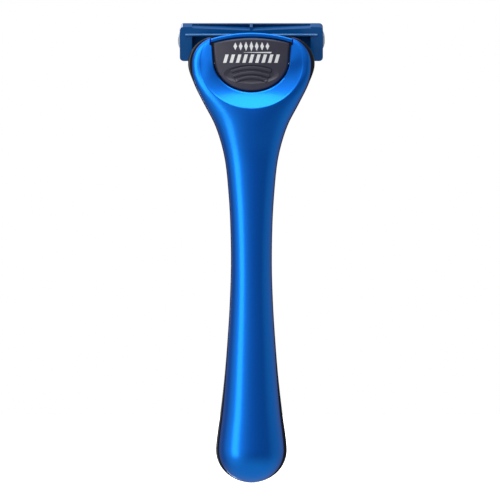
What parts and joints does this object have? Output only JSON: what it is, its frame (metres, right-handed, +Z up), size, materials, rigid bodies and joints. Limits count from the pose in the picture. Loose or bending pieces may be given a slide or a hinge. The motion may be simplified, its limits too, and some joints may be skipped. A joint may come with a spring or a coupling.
{
  "type": "cartridge razor",
  "caption": "Wet razor with a waisted two-shell handle, a thumb button in the flared head, a sliding docking head and a spring-loaded pivoting blade unit.",
  "frame": {"origin": "middle of the handle's waist, where the fingers close round it", "axes": "+Z up the handle to the blade unit, -Y the side of the thumb button, +Y the side of the blades, +X to the right as seen from the button side"},
  "size_m": [0.0426, 0.019, 0.1335],
  "materials": {
    "shell_blue": "metallic lacquer under clear coat",
    "shell_black": "glossy",
    "grip_rubber": "satin",
    "inner_black": "moulded",
    "button_grey": "satin",
    "spring_steel": "drawn wire",
    "dock_blue": "moulded",
    "white_plastic": "satin",
    "frame_navy": "translucent tinted, polished",
    "strip_gel": "waxy",
    "guard_rubber": "satin",
    "blade_steel": "ground",
    "spacer_aluminium": "rolled"
  },
  "bodies": {
    "handle": {"front_shell": "shell_blue", "rear_shell": "shell_black", "back_grip": "grip_rubber", "chassis": "inner_black", "button_spring": "spring_steel"},
    "button": {"release_button": "button_grey"},
    "docking_head": {"docking_frame": "dock_blue", "hood": "shell_blue", "plunger_spring": "spring_steel"},
    "plunger": {"plunger": "white_plastic"},
    "blade_unit": {"cartridge_frame": "frame_navy", "blade_platform": "white_plastic", "end_cap_left": "white_plastic", "end_cap_right": "white_plastic", "blade_cap": "frame_navy", "lubricating_strip": "strip_gel", "guard_strip": "guard_rubber", "blade_1": "blade_steel", "blade_2": "blade_steel", "blade_3": "blade_steel", "spacer_1": "spacer_aluminium", "spacer_2": "spacer_aluminium", "wires_1": "blade_steel", "wires_2": "blade_steel", "wires_3": "blade_steel"}
  },
  "joints": [
    {"name": "button_press", "type": "slide", "parent": "handle", "child": "button", "axis": [0, 0, 1], "range_m": [0, 0.0035], "stiffness_N_per_m": 900, "springref_m": -0.001, "deforming": ["button_spring"]},
    {"name": "cartridge_release", "type": "slide", "parent": "handle", "child": "docking_head", "axis": [0, 0, 1], "range_m": [0, 0.0035]},
    {"name": "cartridge_pivot", "type": "hinge", "parent": "docking_head", "child": "blade_unit", "pos_m": [0, 0.0074, 0.0619], "axis": [1, 0, 0], "range_deg": [0, 32], "stiffness_Nm_per_rad": 0.02, "springref_deg": -17.19},
    {"name": "plunger_slide", "type": "slide", "parent": "docking_head", "child": "plunger", "axis": [0, 0, 1], "range_m": [-0.0038, 0], "deforming": ["plunger_spring"]}
  ],
  "couplings": [
    {"joint": "cartridge_release", "follows": "button_press", "ratio": 1},
    {"joint": "plunger_slide", "follows": "cartridge_pivot", "m_per_rad": -0.0068}
  ]
}
